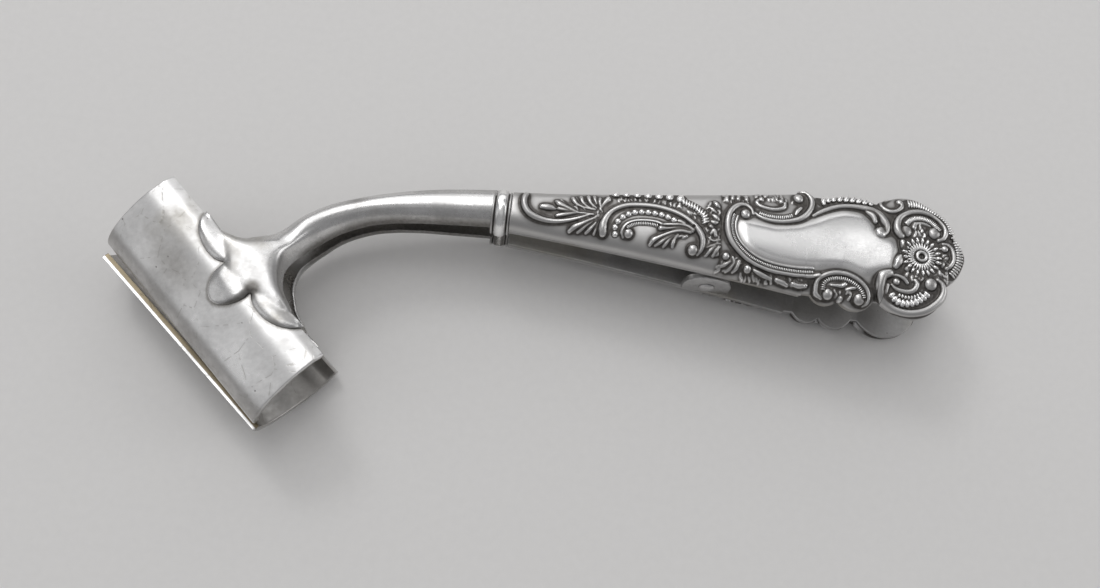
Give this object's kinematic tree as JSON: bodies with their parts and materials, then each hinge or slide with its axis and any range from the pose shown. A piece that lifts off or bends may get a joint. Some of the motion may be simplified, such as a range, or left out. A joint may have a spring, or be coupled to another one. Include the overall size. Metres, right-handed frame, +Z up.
{
  "type": "asparagus tongs",
  "caption": "Pair of sprung silver serving tongs: two curved sheet jaws on bent necks with ornamental hollow handles, hinged between the handles so that squeezing them opens the jaws.",
  "frame": {"origin": "on the surface that the tongs lie on, under the middle of their bounding box", "axes": "+X along the handles from the collars to the flower ends, +Z up across the two arms from the lower to the upper one, +Y to the side away from the jaws"},
  "size_m": [0.1158, 0.0418, 0.0139],
  "materials": {
    "polished_silver": "satin, worn",
    "struck_silver": "struck relief with darkened recesses",
    "plain_silver": "dull, tarnished",
    "spring_metal": "dull"
  },
  "bodies": {
    "lower_arm": {"lower_jaw": "polished_silver", "lower_neck": "polished_silver", "lower_collar": "polished_silver", "lower_handle_shell": "struck_silver", "lower_back_plate": "plain_silver", "hinge_ear_front": "plain_silver", "hinge_ear_back": "plain_silver", "hinge_pin": "plain_silver", "leaf_spring": "spring_metal", "spring_rivet_1": "spring_metal", "spring_rivet_2": "spring_metal"},
    "upper_arm": {"upper_jaw": "polished_silver", "upper_neck": "polished_silver", "upper_collar": "polished_silver", "upper_handle_shell": "struck_silver", "upper_back_plate": "plain_silver", "hinge_bracket": "plain_silver"}
  },
  "joints": [
    {"name": "squeeze_hinge", "type": "hinge", "parent": "lower_arm", "child": "upper_arm", "pos_m": [0.02446, 0.01242, 0.00575], "axis": [0, 1, 0], "range_deg": [0, 12], "stiffness_Nm_per_rad": 0.4, "springref_deg": -8.59, "deforming": ["leaf_spring"]}
  ]
}
